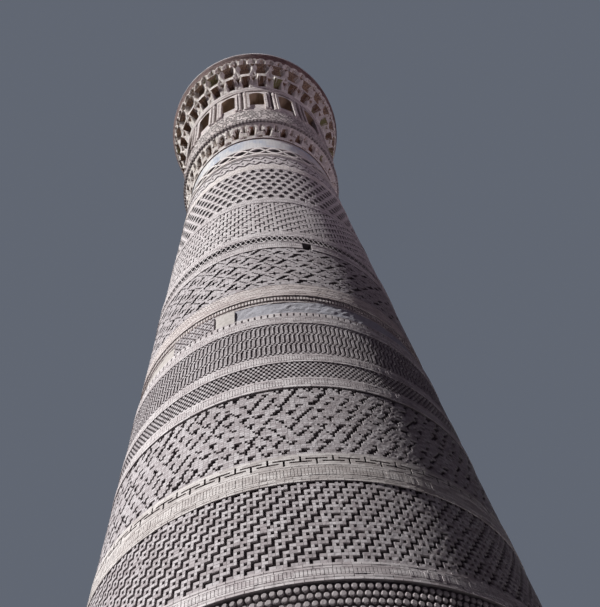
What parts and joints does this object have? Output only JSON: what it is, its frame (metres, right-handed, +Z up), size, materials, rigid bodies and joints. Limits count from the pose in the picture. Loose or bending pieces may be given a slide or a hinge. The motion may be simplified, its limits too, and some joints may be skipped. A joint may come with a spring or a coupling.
{
  "type": "brick minaret, 1:2 scale model",
  "caption": "Half-size model of a tall tapering round brick minaret with patterned bands, a glazed band and a corbelled lantern with arched windows.",
  "frame": {"origin": "centre of the ten-sided foot, on the ground", "axes": "+Z up the axis of the tower; -Y towards the face that carries the pale slab and the small window; the doorway faces +Y"},
  "size_m": [5.05, 4.8028, 23.85],
  "materials": {
    "brick": "matt patterned fired brick",
    "fillet_brick": "matt fired brick courses",
    "dressed_brick": "matt cut brick",
    "lantern_brick": "matt fired brick",
    "corbel_brick": "matt weathered brick with traces of glaze",
    "plaster": "matt smooth lime plaster",
    "pale_stone": "matt pale slab",
    "glazed_tile": "glossy weathered glaze",
    "roof_brick": "matt weathered brick paving"
  },
  "bodies": {
    "root": {"plinth": "dressed_brick", "key_band": "dressed_brick", "guilloche_band": "dressed_brick", "dotted_band": "dressed_brick", "lantern_floor": "dressed_brick", "base_drum": "brick", "door_drum": "brick", "basket_drum": "brick", "boss_drum": "brick", "squares_drum": "brick", "meander_drum": "brick", "checker_drum": "brick", "wave_drum": "brick", "lattice_drum": "brick", "braid_drum": "brick", "diamond_drum": "brick", "zigzag_band": "brick", "mosaic_panel": "brick", "door_fillet": "fillet_brick", "basket_fillet": "fillet_brick", "boss_fillet": "fillet_brick", "meander_fillet": "fillet_brick", "checker_fillet": "fillet_brick", "dot_fillet": "fillet_brick", "ledge_fillet": "fillet_brick", "window_fillet": "fillet_brick", "double_fillet": "fillet_brick", "standing_fillet": "fillet_brick", "dentil_course": "fillet_brick", "arcade_cornice": "fillet_brick", "rim_ring": "fillet_brick", "plaster_drum": "plaster", "glazed_band": "glazed_tile", "pale_slab": "pale_stone", "lower_corbel_foot": "corbel_brick", "lower_corbel_head": "corbel_brick", "upper_corbel_foot": "corbel_brick", "upper_corbel_middle": "corbel_brick", "upper_corbel_head": "corbel_brick", "parapet_wall": "lantern_brick", "arcade_piers": "lantern_brick", "arcade_arches": "lantern_brick", "lantern_vault": "lantern_brick", "roof_deck": "roof_brick", "roof_cone": "roof_brick"}
  },
  "joints": []
}
